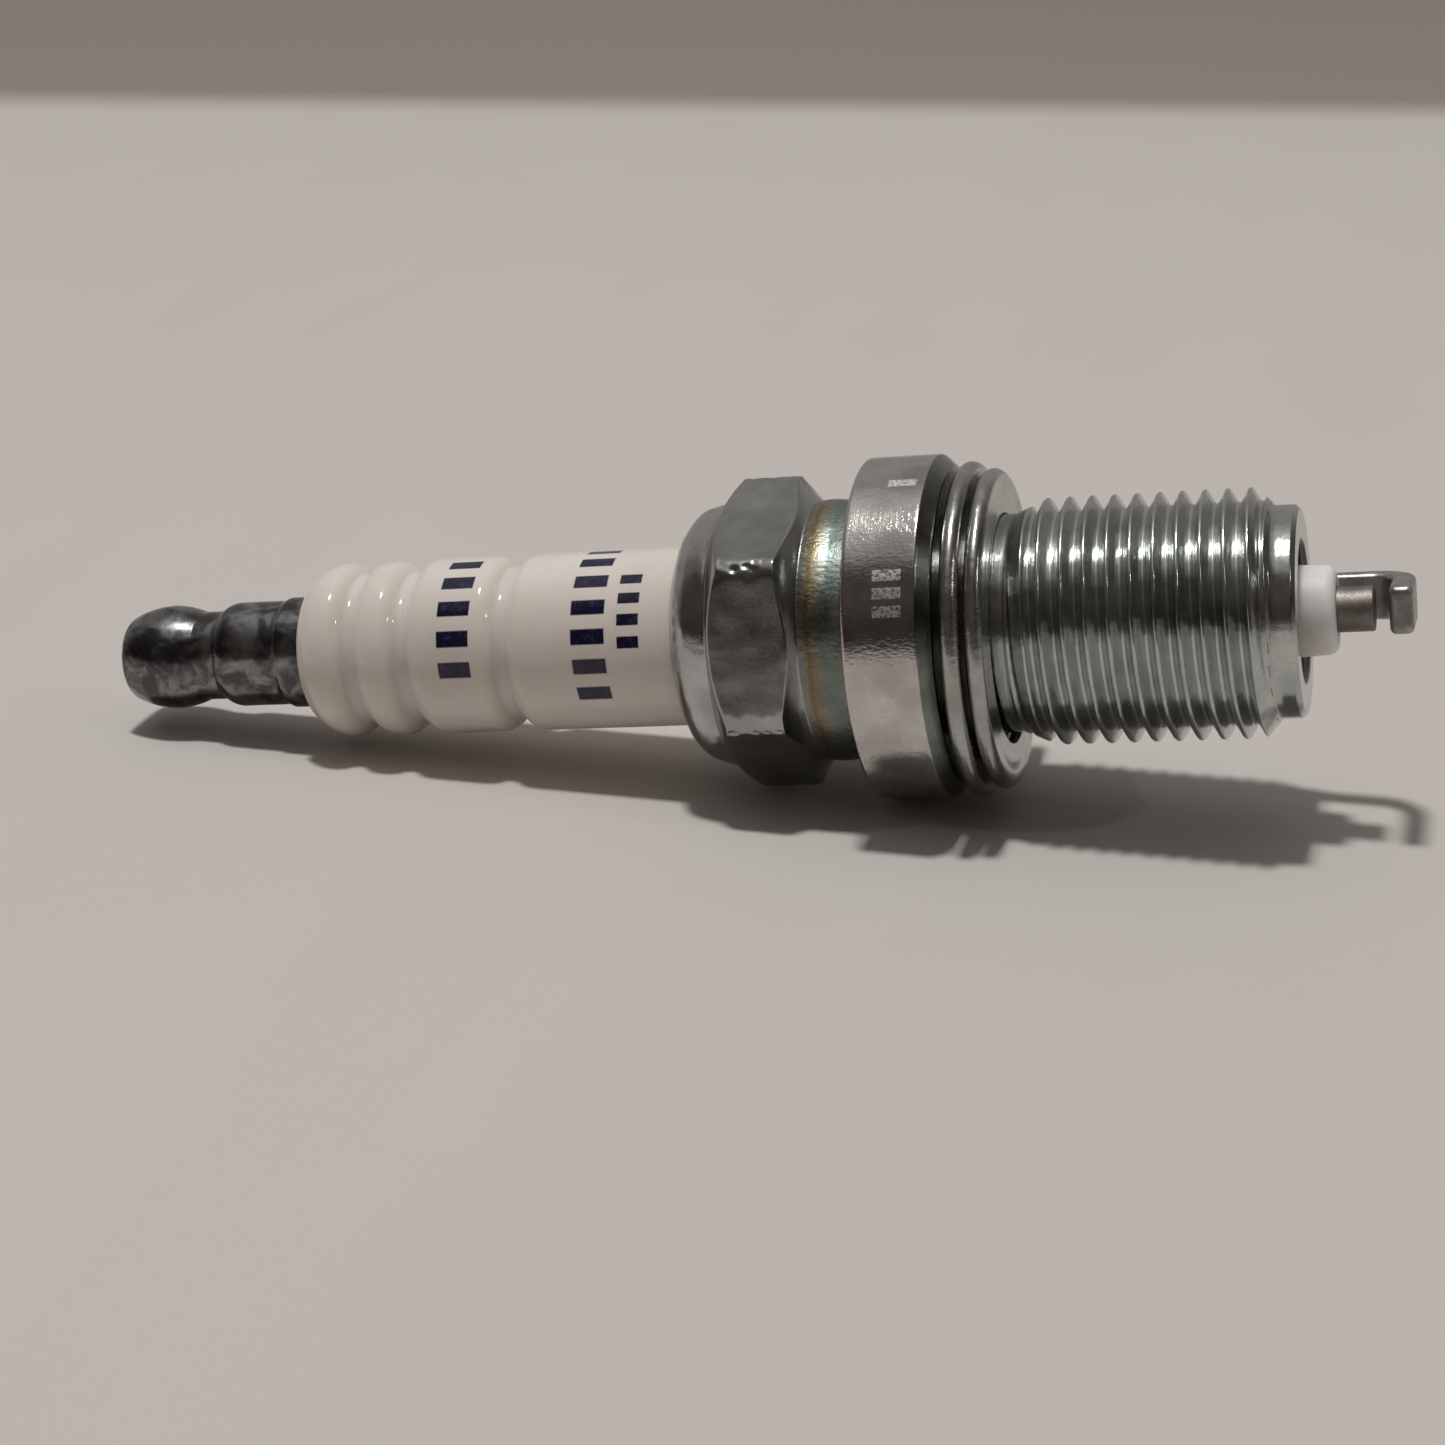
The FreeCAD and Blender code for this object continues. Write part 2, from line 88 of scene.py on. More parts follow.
def soften(points, radius, least_turn=20.0, closed=False):
    """Rounds each corner that turns by more than least_turn degrees and adds a support point beside it."""
    count = len(points)
    result = []
    for i, point in enumerate(points):
        if not closed and i in (0, count - 1):
            result.append(point)
            continue
        before, after = points[i - 1] - point, points[(i + 1) % count] - point
        len_a, len_b = np.hypot(*before), np.hypot(*after)
        dir_a, dir_b = before / len_a, after / len_b
        turn = 180 - math.degrees(math.acos(np.clip(dir_a @ dir_b, -1, 1)))
        if turn < least_turn:
            result.append(point)
            continue
        cut_a, cut_b = min(radius, 0.4 * len_a), min(radius, 0.4 * len_b)
        if SUPPORT * cut_a < 0.5 * len_a:
            result.append(point + dir_a * cut_a * SUPPORT)
        for t in (0.0, 0.25, 0.5, 0.75, 1.0):
            result.append(point + dir_a * cut_a * (1 - t) ** 2 + dir_b * cut_b * t ** 2)
        if SUPPORT * cut_b < 0.5 * len_b:
            result.append(point + dir_b * cut_b * SUPPORT)
    return np.array(result)


def dense(points, step, closed=False):
    """The same line with no piece longer than step."""
    ends = list(points[1:]) + ([points[0]] if closed else [])
    result = [points[0]]
    for a, b in zip(points, ends):
        pieces = max(1, math.ceil(np.hypot(*(b - a)) / step))
        result += [a + (b - a) * k / pieces for k in range(1, pieces + 1)]
    return np.array(result[:-1] if closed else result)


def turned(points, angles):
    """Grid of rows and columns: the line turned about X, angles in radians from +Y towards +Z."""
    x = np.repeat(points[:, :1], len(angles), 1)
    return np.stack([x, points[:, 1:] * np.cos(angles), points[:, 1:] * np.sin(angles)], 2)


def grid_faces(rows, cols, first, closed_rows=False, closed_cols=True):
    """Quads of a grid, facing away from the axis when its rows run along +X."""
    i, j = np.meshgrid(np.arange(rows if closed_rows else rows - 1),
                       np.arange(cols if closed_cols else cols - 1), indexing="ij")
    i, j = i.ravel(), j.ravel()
    i2, j2 = (i + 1) % rows, (j + 1) % cols
    return np.stack([i * cols + j, i * cols + j2, i2 * cols + j2, i2 * cols + j], 1) + first


def build(name, points_mm, faces):
    """Object from points in millimetres and quads, welded, smooth and facing outwards."""
    mesh = bpy.data.meshes.new(name)
    mesh.vertices.add(len(points_mm))
    mesh.vertices.foreach_set("co", (points_mm * MM).astype(np.float32).ravel())
    mesh.loops.add(faces.size)
    mesh.loops.foreach_set("vertex_index", faces.astype(np.int32).ravel())
    mesh.polygons.add(len(faces))
    mesh.polygons.foreach_set("loop_start", np.arange(0, faces.size, 4, dtype=np.int32))
    mesh.update(calc_edges=True)
    work = bmesh.new()
    work.from_mesh(mesh)
    bmesh.ops.remove_doubles(work, verts=work.verts, dist=WELD_MM * MM)
    bmesh.ops.dissolve_degenerate(work, edges=work.edges, dist=WELD_MM * MM)
    bmesh.ops.recalc_face_normals(work, faces=work.faces)
    work.to_mesh(mesh)
    work.free()
    mesh.shade_smooth()
    mesh.validate()
    piece = bpy.data.objects.new(name, mesh)
    scene.collection.objects.link(piece)
    return piece


def revolve(name, points, columns=192, closed=False, shape=None):
    """Turned piece from an outline; shape may move the grid's points."""
    angles = np.arange(columns) * 2 * math.pi / columns
    grid = turned(points, angles)
    if shape:
        grid = shape(grid)
    return build(name, grid.reshape(-1, 3), grid_faces(len(points), columns, 0, closed))


def waves(seed, count, low, high):
    """A smooth repeatable field: sum of count sine waves with frequencies from low to high per mm."""
    draw = np.random.default_rng(seed)
    ways = draw.normal(size=(count, 3))
    ways /= np.linalg.norm(ways, axis=1)[:, None]
    ways *= draw.uniform(low, high, (count, 1)) * 2 * math.pi
    shift = draw.uniform(0, 2 * math.pi, count)

    def field(p):
        return np.sin(p @ ways.T + shift).sum(-1) / math.sqrt(count)

    return field


# ---------------------------------------------------------------- materials


class Graph:
    """Small helper that makes one node material."""

    def __init__(self, name):
        self.mat = bpy.data.materials.new(name)
        self.mat.use_nodes = True
        self.tree = self.mat.node_tree
        self.tree.nodes.clear()
        self.where = self.add("ShaderNodeTexCoord").outputs["Object"]
        self.mm = self.vec("SCALE", self.where, Scale=1000.0)

    def add(self, kind, ins=None, **attrs):
        node = self.tree.nodes.new(kind)
        for key, val in attrs.items():
            setattr(node, key, val)
        for key, val in (ins or {}).items():
            socket = node.inputs[key]
            if isinstance(val, bpy.types.NodeSocket):
                self.tree.links.new(val, socket)
            else:
                socket.default_value = val
        return node

    def vec(self, op, a, b=None, **named):
        ins = {0: a}
        if b is not None:
            ins[1] = b
        ins.update(named)
        node = self.add("ShaderNodeVectorMath", ins, operation=op)
        return node.outputs["Vector"]

    def math(self, op, a, b=None, c=None):
        ins = {0: a}
        if b is not None:
            ins[1] = b
        if c is not None:
            ins[2] = c
        return self.add("ShaderNodeMath", ins, operation=op).outputs[0]

    def split(self, vector=None):
        node = self.add("ShaderNodeSeparateXYZ", {0: vector or self.mm})
        return node.outputs[0], node.outputs[1], node.outputs[2]

    def noise(self, scale, detail=3.0, rough=0.55, stretch=None, distortion=0.0):
        """Noise of that many features per mm; stretch multiplies X, Y and Z."""
        vector = self.vec("MULTIPLY", self.mm, stretch) if stretch else self.mm
        return self.add("ShaderNodeTexNoise", {
            "Vector": vector, "Scale": scale, "Detail": detail, "Roughness": rough,
            "Distortion": distortion}).outputs["Fac"]

    def cells(self, scale, feature="F1", stretch=None):
        vector = self.vec("MULTIPLY", self.mm, stretch) if stretch else self.mm
        return self.add("ShaderNodeTexVoronoi", {"Vector": vector, "Scale": scale},
                        feature=feature).outputs["Distance"]

    def fit(self, value, low, high, to_low=0.0, to_high=1.0, smooth=False):
        """Value mapped from one range to another, held at its ends."""
        node = self.add("ShaderNodeMapRange", {
            0: value, 1: low, 2: high, 3: to_low, 4: to_high},
            interpolation_type="SMOOTHSTEP" if smooth else "LINEAR")
        return node.outputs[0]

    def mix(self, share, a, b, blend="MIX"):
        node = self.add("ShaderNodeMix", data_type="RGBA", blend_type=blend)
        for socket, val in ((node.inputs[0], share), (node.inputs[6], a), (node.inputs[7], b)):
            if isinstance(val, bpy.types.NodeSocket):
                self.tree.links.new(val, socket)
            else:
                socket.default_value = val if isinstance(val, float) else (*val, 1.0)
        return node.outputs[2]

    def ramp(self, value, *stops):
        node = self.add("ShaderNodeValToRGB", {0: value})
        band = node.color_ramp
        while len(band.elements) < len(stops):
            band.elements.new(0.5)
        for element, (place, colour) in zip(band.elements, stops):
            element.position = place
            element.color = (*colour, 1.0)
        return node.outputs[0]

    def bars(self, marks):
        """Plain short bars round the X axis, 1 inside a bar; see PRINTS."""
        x, y, z = self.split()
        angle = self.math("DIVIDE", self.math("ARCTAN2", z, y), 2 * math.pi)
        total = None
        for middle, half, first, count, step, bar in marks:
            off = self.math("ABSOLUTE", self.math("SUBTRACT", x, middle))
            across = self.fit(off, half, half + MARK_EDGE_MM, 1.0, 0.0)
            turns = self.math("FRACT", self.math("SUBTRACT", angle, first))
            inside = self.math("LESS_THAN", turns, count * step)
            along = self.math("FRACT", self.math("DIVIDE", turns, step))
            off = self.math("ABSOLUTE", self.math("SUBTRACT", along, 0.5))
            mark = self.fit(off, bar, bar + MARK_EDGE_SHARE, 1.0, 0.0)
            mark = self.math("MULTIPLY", self.math("MULTIPLY", across, mark), inside)
            total = mark if total is None else self.math("MAXIMUM", total, mark)
        return total

    def bump(self, height, depth_mm, under=None):
        ins = {"Height": height, "Distance": depth_mm * MM, "Strength": 1.0}
        if under:
            ins["Normal"] = under
        return self.add("ShaderNodeBump", ins).outputs[0]

    def close(self, **ins):
        """Principled shader; underscores in the names stand for spaces."""
        shader = self.add("ShaderNodeBsdfPrincipled",
                          {key.replace("_", " "): val for key, val in ins.items()})
        out = self.add("ShaderNodeOutputMaterial")
        self.tree.links.new(shader.outputs[0], out.inputs["Surface"])
        return self.mat


RINGS = (1.0, 0.04, 0.04)
MARK_EDGE_MM = 0.05
MARK_EDGE_SHARE = 0.04
# Ink marks: middle X, half width, start (turns), number of bars, step (turns), half bar share.
PRINTS = (
    (-28.95, 0.95, 0.245, 5, 0.056, 0.24),
    (-20.75, 0.98, 0.208, 7, 0.053, 0.24),
    (-18.35, 0.62, 0.319, 4, 0.040, 0.24),
)


# Etched marks of the collar, in the same terms.
ETCHED = (
    (-2.3, 0.78, 0.397, 3, 0.0165, 0.30),
    (-2.0, 0.78, 0.292, 1, 0.0165, 0.30),
)


def plated_steel(name, light, dark, rough, grain_mm, ring_mm, chip_mm=0.0, chips=2.6, blotch=0.3,
                 streak=12.0, grain=7.0, tint=None, etched=None):
    """Plated turned steel: blotched tone, fine grain, faint turning rings and scattered scratches."""
    g = Graph(name)
    cloud = g.noise(blotch, 4.0, 0.6)
    tone = g.fit(cloud, 0.34, 0.66, smooth=True)
    colour = g.mix(tone, dark, light)
    if tint:
        colour = tint(g, colour)
    fine = g.noise(grain, 4.0, 0.7)
    rings = g.noise(streak, 2.0, 0.5, RINGS)
    marks = g.noise(2.2, 6.0, 0.75, (0.5, 1.6, 1.6), 0.6)
    scratch = g.fit(g.math("ABSOLUTE", g.math("SUBTRACT", marks, 0.5)), 0.0, 0.012, 1.0, 0.0)
    colour = g.mix(g.math("MULTIPLY", scratch, 0.35), colour, tuple(c * 0.45 for c in dark))
    colour = g.mix(g.fit(fine, 0.35, 0.65, 0.0, 0.35), colour, tuple(c * 0.6 for c in light))
    gloss = g.fit(g.math("MULTIPLY", cloud, fine), 0.12, 0.42, rough * 0.7, rough * 1.5)
    if etched:
        frost = g.math("MULTIPLY", g.bars(etched), g.fit(fine, 0.36, 0.52, 0.15, 0.85))
        colour = g.mix(frost, colour, (0.62, 0.60, 0.58))
        gloss = g.math("MAXIMUM", gloss, g.math("MULTIPLY", frost, 0.6))
    normal = g.bump(fine, grain_mm)
    normal = g.bump(rings, ring_mm, normal)
    if chip_mm:
        facets = g.cells(chips, "SMOOTH_F1", (0.45, 1.0, 1.0))
        normal = g.bump(g.math("ADD", facets, g.noise(chips * 0.6, 3.0)), chip_mm, normal)
    return g.close(Base_Color=colour, Metallic=1.0, Roughness=gloss, Normal=normal)


def heat_tint(g, colour):
    """Blue-grey, gold and teal bands left by heating the shrunk neck."""
    x, _, _ = g.split()
    drift = g.math("MULTIPLY_ADD", g.noise(0.5, 2.0), 0.5, x)
    band = g.fit(drift, -7.9, -4.6)
    tints = g.ramp(band, (0.0, (0.60, 0.64, 0.68)), (0.10, (0.52, 0.60, 0.66)),
                   (0.19, (0.60, 0.52, 0.36)), (0.25, (0.46, 0.30, 0.12)),
                   (0.32, (0.62, 0.50, 0.30)), (0.45, (0.56, 0.58, 0.50)),
                   (0.60, (0.42, 0.56, 0.58)), (0.80, (0.50, 0.56, 0.52)),
                   (1.0, (0.34, 0.32, 0.28)))
    return g.mix(1.0, colour, tints, "MULTIPLY")


def dark_nickel():
    """Smudged black-nickel plating of the terminal nut."""
    g = Graph("terminal_metal_smudged")
    cloud = g.noise(0.62, 5.0, 0.62, distortion=0.5)
    smear = g.noise(0.9, 3.0, 0.5, (0.6, 1.0, 1.0))
    tone = g.fit(cloud, 0.38, 0.62, smooth=True)
    colour = g.mix(tone, (0.09, 0.09, 0.092), (0.29, 0.295, 0.30))
    fine = g.noise(14.0, 2.0)
    gloss = g.fit(smear, 0.3, 0.7, 0.15, 0.34)
    normal = g.bump(g.noise(0.7, 2.0), 0.05)
    normal = g.bump(fine, 0.0015, normal)
    return g.close(Base_Color=colour, Metallic=1.0, Roughness=gloss, Normal=normal)


def glaze():
    """White glazed ceramic with a clear coat and plain ink marks round the barrel."""
    g = Graph("insulator_glaze_white")
    cloud = g.noise(0.25, 3.0)
    colour = g.mix(g.fit(cloud, 0.35, 0.65), (0.755, 0.70, 0.64), (0.80, 0.75, 0.70))
    speck = g.fit(g.cells(0.9), 0.03, 0.06, 1.0, 0.0)
    colour = g.mix(g.math("MULTIPLY", speck, 0.25), colour, (0.35, 0.28, 0.22))
    ink = g.bars(PRINTS)
    worn = g.fit(g.noise(3.0, 4.0, 0.7), 0.3, 0.5, 0.95, 1.0)
    ink = g.math("MULTIPLY", ink, worn)
    colour = g.mix(ink, colour, (0.007, 0.007, 0.038))
    wavy = g.noise(0.35, 2.0)
    normal = g.bump(wavy, 0.02)
    return g.close(Base_Color=colour, Roughness=0.5, Specular_IOR_Level=0.0, Subsurface_Weight=0.6,
                   Subsurface_Radius=(1.0, 0.75, 0.55), Subsurface_Scale=0.0012,
                   Coat_Weight=1.0, Coat_Roughness=0.10, Coat_IOR=1.5, Coat_Normal=normal)


def bare_ceramic():
    """Unglazed end of the insulator: matt, bright and slightly see-through."""
    g = Graph("insulator_bare_white")
    cloud = g.noise(0.6, 3.0)
    colour = g.mix(g.fit(cloud, 0.35, 0.65), (0.82, 0.79, 0.76), (0.88, 0.855, 0.83))
    normal = g.bump(g.noise(9.0, 3.0), 0.004)
    return g.close(Base_Color=colour, Roughness=0.5, Subsurface_Weight=1.0,
                   Subsurface_Radius=(1.0, 0.85, 0.75), Subsurface_Scale=0.0016, Normal=normal)


def nickel(name, light, dark, rough):
    """Satin nickel alloy, drawn wire and strap with faint tarnish."""
    g = Graph(name)
    cloud = g.noise(0.8, 4.0, 0.6)
    colour = g.mix(g.fit(cloud, 0.35, 0.65, smooth=True), dark, light)
    fine = g.noise(9.0, 4.0, 0.7)
    gloss = g.fit(fine, 0.3, 0.7, rough * 0.8, rough * 1.3)
    normal = g.bump(fine, 0.01)
    return g.close(Base_Color=colour, Metallic=1.0, Roughness=gloss, Normal=normal)


def fired_glass(name, light, dark):
    """Fused glass and metal powder of the seals and the resistor."""
    g = Graph(name)
    grain = g.noise(2.5, 5.0, 0.7)
    colour = g.mix(g.fit(grain, 0.4, 0.6), dark, light)
    normal = g.bump(grain, 0.02)
    return g.close(Base_Color=colour, Metallic=0.3, Roughness=0.45, Normal=normal)


def paint(node, material):
    """Gives a carried-over CAD node its own material."""
    mesh = nodes[node].data
    mesh.materials.clear()
    mesh.materials.append(material)


def dress(piece, body, slot, stands_for, *materials):
    """Materials, body and the CAD node that a new piece stands for; slot is not used."""
    for material in materials:
        piece.data.materials.append(material)
    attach(piece, body)
    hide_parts(*stands_for)


# ---------------------------------------------------------------- camera, light and stage

FLOOR_NORMAL = Vector((0.12274, 0.0, 0.99244))
FLOOR_OFFSET = -10.3 * MM
FLOOR_ALONG = Vector((0.99244, 0.0, -0.12274))

camera_data = bpy.data.cameras.new("camera")
camera_data.lens = 73.806
camera_data.sensor_width = 36.0
camera_data.clip_start = 0.01
camera_data.clip_end = 20.0
camera = bpy.data.objects.new("camera", camera_data)
right, up, back = (Vector((0.96132, 0.24847, -0.11889)), Vector((0.031, 0.33129, 0.94302)),
                   Vector((0.27369, -0.91022, 0.31078)))
camera.matrix_world = (Matrix.Translation(Vector((32.593, -157.827, 48.52)) * MM)
                       @ Matrix((right, up, back)).transposed().to_4x4())
scene.collection.objects.link(camera)
scene.camera = camera
scene.view_settings.view_transform = "Standard"


LAMP_DISTANCE = 1.1
LAMP_COLOUR = (1.0, 0.985, 0.97)


def lamp(name, direction, size, power):
    """Round lamp in that direction, shining at the plug."""
    light = bpy.data.lights.new(name, "AREA")
    light.shape = "DISK"
    light.size = size
    light.energy = power
    light.color = LAMP_COLOUR
    holder = bpy.data.objects.new(name, light)
    way = Vector(direction).normalized()
    holder.location = way * LAMP_DISTANCE
    holder.rotation_mode = "QUATERNION"
    holder.rotation_quaternion = way.to_track_quat("Z", "Y")
    scene.collection.objects.link(holder)


lamp("key_light", (0.02, 0.0, 1.0), 0.105, 6.95)
lamp("side_light", (0.87, -0.10, 0.50), 0.032, 0.42)


def room():
    """World light: dark warm room in front of the plug, paler wall behind it, soft ceiling."""
    world = bpy.data.worlds.new("room")
    scene.world = world
    world.use_nodes = True
    tree = world.node_tree
    tree.nodes.clear()

    def add(kind, **attrs):
        node = tree.nodes.new(kind)
        for key, val in attrs.items():
            setattr(node, key, val)
        return node

    def link(source, target):
        tree.links.new(source, target)

    def span(value, low, high, to_low, to_high):
        node = add("ShaderNodeMapRange", interpolation_type="SMOOTHSTEP")
        link(value, node.inputs[0])
        for index, number in enumerate((low, high, to_low, to_high), start=1):
            node.inputs[index].default_value = number
        return node.outputs[0]

    def times(a, b, operation="MULTIPLY"):
        node = add("ShaderNodeMath", operation=operation)
        link(a, node.inputs[0])
        link(b, node.inputs[1])
        return node.outputs[0]

    where = add("ShaderNodeTexCoord")
    parts = add("ShaderNodeSeparateXYZ")
    link(where.outputs["Generated"], parts.inputs[0])
    x, y, z = parts.outputs
    wall = span(y, -0.25, 0.45, 0.034, 0.30)
    shade_right = span(x, 0.25, 0.8, 1.0, 0.28)
    level = times(wall, shade_right)
    horizon = times(span(z, 0.0, 0.10, 0.10, 0.0), span(y, -0.1, 0.2, 1.0, 0.0))
    level = times(level, horizon, "ADD")
    glow = times(span(z, 0.25, 0.6, 0.0, 0.032), span(y, -0.1, 0.2, 1.0, 0.0))
    level = times(level, glow, "ADD")
    overhead = span(z, 0.78, 0.97, 0.0, 0.36)
    level = times(level, overhead, "ADD")
    tone = add("ShaderNodeValToRGB")
    tone.color_ramp.elements[0].color = (0.0, 0.0, 0.0, 1)
    tone.color_ramp.elements[1].color = (1.0, 0.965, 0.93, 1)
    tone.color_ramp.elements.new(0.07).color = (0.080, 0.066, 0.058, 1)
    link(level, tone.inputs[0])
    shade = add("ShaderNodeBackground")
    out = add("ShaderNodeOutputWorld")
    link(tone.outputs[0], shade.inputs[0])
    link(shade.outputs[0], out.inputs[0])


room()


def floor_sheet():
    """Large pale table top, with a darker soft band beyond its far edge."""
    steps, half = 24, 0.9
    rows = []
    for i in range(steps + 1):
        for j in range(steps + 1):
            u, v = (2 * i / steps - 1) * half, (2 * j / steps - 1) * half
            rows.append(FLOOR_NORMAL * FLOOR_OFFSET + FLOOR_ALONG * u + Vector((0, v, 0)))
    faces = [(i * (steps + 1) + j, (i + 1) * (steps + 1) + j, (i + 1) * (steps + 1) + j + 1,
              i * (steps + 1) + j + 1) for i in range(steps) for j in range(steps)]
    mesh = bpy.data.meshes.new("table_top")
    mesh.from_pydata(rows, [], faces)
    table = bpy.data.objects.new("table_top", mesh)
    scene.collection.objects.link(table)
    g = Graph("table_pale")
    x, y, _ = g.split()
    beyond = g.math("SUBTRACT", y, g.math("MULTIPLY_ADD", x, 0.2, 276.0))
    far = g.fit(beyond, -12.0, 14.0, smooth=True)
    colour = g.mix(g.noise(0.02, 3.0), (0.595, 0.562, 0.535), (0.625, 0.592, 0.562))
    colour = g.mix(g.fit(g.noise(3.0, 3.0), 0.3, 0.7, 0.0, 0.08), colour, (0.52, 0.49, 0.465))
    streaks = g.fit(g.noise(0.12, 2.0, 0.5, (1.0, 0.06, 1.0)), 0.4, 0.6, 0.0, 0.05)
    colour = g.mix(streaks, colour, (0.70, 0.67, 0.64))
    colour = g.mix(far, colour, (0.30, 0.262, 0.24))
    mesh.materials.append(g.close(Base_Color=colour, Roughness=0.7, Specular_IOR_Level=0.25))


floor_sheet()


# ---------------------------------------------------------------- terminal nut

nut_line = outline(
    (-51.45, 0.0), (-51.45, 2.1), (-51.15, 2.56, 0.5, 1), (-48.65, 3.14, 5.7, 1),
    (-46.75, 2.67, 5.7, 1), (-45.35, 2.67), (-44.35, 3.14, 1.6, 1), (-41.55, 3.14),
    (-40.95, 3.33, 0.7, -1), (-39.32, 3.33), (-39.32, 2.35), (-39.62, 2.05), (-49.3, 2.05),
    (-50.3, 0.0))
nut_line = dense(soften(nut_line, 0.14), 0.3)
nut_field = waves(3, 14, 0.05, 0.22)


def nut_shape(grid):
    """Slightly uneven plating, within a hundredth of a millimetre or so."""
    outside = np.hypot(grid[..., 1], grid[..., 2])[..., None] > 2.4
    push = nut_field(grid)[..., None] * 0.008 * outside
    grid[..., 1:] *= 1 - np.abs(push)
    return grid


nut = revolve("terminal_nut_polished", nut_line, 192, shape=nut_shape)
dress(nut, "nut", "terminal_metal", ["terminal_nut"], dark_nickel())

# ---------------------------------------------------------------- insulator


def groove(centre):
    """Round-bottomed groove between two ribs."""
    return [(centre - 1.4, 5.18), (centre - 0.42, 4.55, 1.17, 1), (centre + 0.42, 4.55, 0.62, -1),
            (centre + 1.4, 5.18, 1.17, 1)]


barrel = outline(
    (-39.25, 2.3), (-39.25, 3.7), (-38.75, 4.5, 0.95, 1), (-37.2, 5.18, 2.4, 1),
    *groove(-35.75), *groove(-32.5), *groove(-26.35),
    (-14.95, 5.18), (-13.95, 5.93), (-6.6, 5.93), (-5.4, 4.75), (2.4, 4.75), (3.5, 3.3),
    (20.25, 2.46), (20.8, 1.92, 0.56, 1), (20.8, 1.32), (-2.3, 1.32), (-3.3, 2.3))
barrel = dense(soften(barrel, 0.12), 0.22, closed=True)


def barrel_shape(grid):
    """Crowns the plain band between the second and third grooves."""
    x = grid[..., :1]
    share = np.clip((x + 31.1) / 3.35, 0, 1)
    outside = np.hypot(grid[..., 1], grid[..., 2])[..., None] > 4.0
    crown = (4 * share * (1 - share) - 0.55) * 0.13 * ((share > 0) & (share < 1)) * outside
    radius = np.hypot(grid[..., 1], grid[..., 2])[..., None]
    grid[..., 1:] *= 1 + crown / radius
    return grid


BARE_FROM = 2.0
ceramic = revolve("insulator_glazed", barrel, 192, closed=True)
dress(ceramic, "plug", "insulator_glaze", ["insulator"], glaze(), bare_ceramic())
for face in ceramic.data.polygons:
    face.material_index = int(face.center.x > BARE_FROM * MM)

# ---------------------------------------------------------------- shell

HEX_FLAT = 7.9
HEX_CLOCK = 19.0
HEX_LEFT, HEX_RIGHT = -13.1, -7.9
HEX_CORNER_R = 8.93
COLLAR_LEFT = -4.92
COLLAR_MOST = 9.715
NICKS = 120
RELIEF_R, ROOT_R, CREST_R, PILOT_R = 6.15, 6.163, 6.93, 5.88
PITCH = 1.25
THREAD_START = 2.99
BODY_LEFT, BODY_RIGHT = 3.4, 17.65

half_sector = [0.0, 0.8, 1.5, 1.95, 2.25, 2.6, 3.1, 3.8, 4.8, 6.0] + list(np.arange(7.3, 29.9, 1.26))
sector = sorted(set([-a for a in half_sector[1:]] + half_sector + [30.0]))
shell_angles = np.radians([HEX_CLOCK + 60 * k + a for k in range(6) for a in sector])

shell_line = outline(
    (-15.72, 5.32), (-15.6, 5.85, 0.6, 1), (-14.5, 7.25, 2.4, 1), (-13.2, 7.57, 6.0, 1),
    (HEX_LEFT, 7.6), (-12.15, HEX_CORNER_R, 12.0, 1), (-8.9, HEX_CORNER_R), (HEX_RIGHT, 7.42, 2.5, -1),
    (-6.35, 7.42, 4.5, 1), (COLLAR_LEFT, 7.42), (COLLAR_LEFT, 9.42), (-4.62, 9.72, 0.3, 1), (-0.78, 9.72),
    (0.0, 8.94), (0.0, RELIEF_R), (BODY_LEFT, RELIEF_R))
shell_line = dense(soften(shell_line, 0.1), 0.13)


def smooth_least(a, b, width):
    """The lesser of a and b, rounded over that width."""
    share = np.clip(0.5 + 0.5 * (b - a) / width, 0, 1)
    return b + (a - b) * share - width * share * (1 - share)


def hexagon(angles):
    """Radius of the hex's flats at each angle."""
    off = (np.degrees(angles) - HEX_CLOCK) % 60 - 30
    return HEX_FLAT / np.cos(np.radians(off))


def loft():
    """Outside of the shell from the crimp lip to the relief."""
    grid = turned(shell_line, shell_angles)
    x = shell_line[:, :1]
    radius = np.repeat(shell_line[:, 1:], len(shell_angles), 1)
    on_hex = (x > HEX_LEFT) & (x < HEX_RIGHT)
    radius = np.where(on_hex, smooth_least(radius, hexagon(shell_angles)[None, :], 0.14), radius)
    draw = np.random.default_rng(11)
    nicks = np.zeros_like(radius)
    for _ in range(NICKS):
        at = draw.uniform(-12.2, -8.8)
        corner = math.radians(HEX_CLOCK + 60 * draw.integers(0, 6)
                              + draw.choice([-2.2, 2.2, 0.5, -0.8]))
        size, depth = draw.uniform(0.12, 0.30), draw.uniform(0.02, 0.085)
        apart = (np.angle(np.exp(1j * (shell_angles - corner))) * 8.9)[None, :]
        nicks += depth * np.exp(-((x - at) ** 2 + apart ** 2) / size ** 2)
    crumple = waves(5, 20, 0.15, 0.7)(grid)
    soft = np.where(x < -13.3, 0.018, np.where((x > -8.3) & (x < -5.3), 0.012, 0.004))
    radius = radius - nicks * on_hex + crumple * soft * (x > -15.6) * (x < -0.1)
    radius = np.minimum(radius, COLLAR_MOST)
    grid[..., 1] = radius * np.cos(shell_angles)
    grid[..., 2] = radius * np.sin(shell_angles)
    return grid


def groove_radius(s):
    """Thread form along X, with its crest and root rounded."""
    total = 0.0
    steps = np.linspace(-0.055, 0.055, 9)
    for step in steps:
        off = np.abs((s + step + PITCH / 2) % PITCH - PITCH / 2)
        total = total + np.clip(ROOT_R + (off - 0.104) * 1.7357, ROOT_R, CREST_R)
    return total / len(steps)


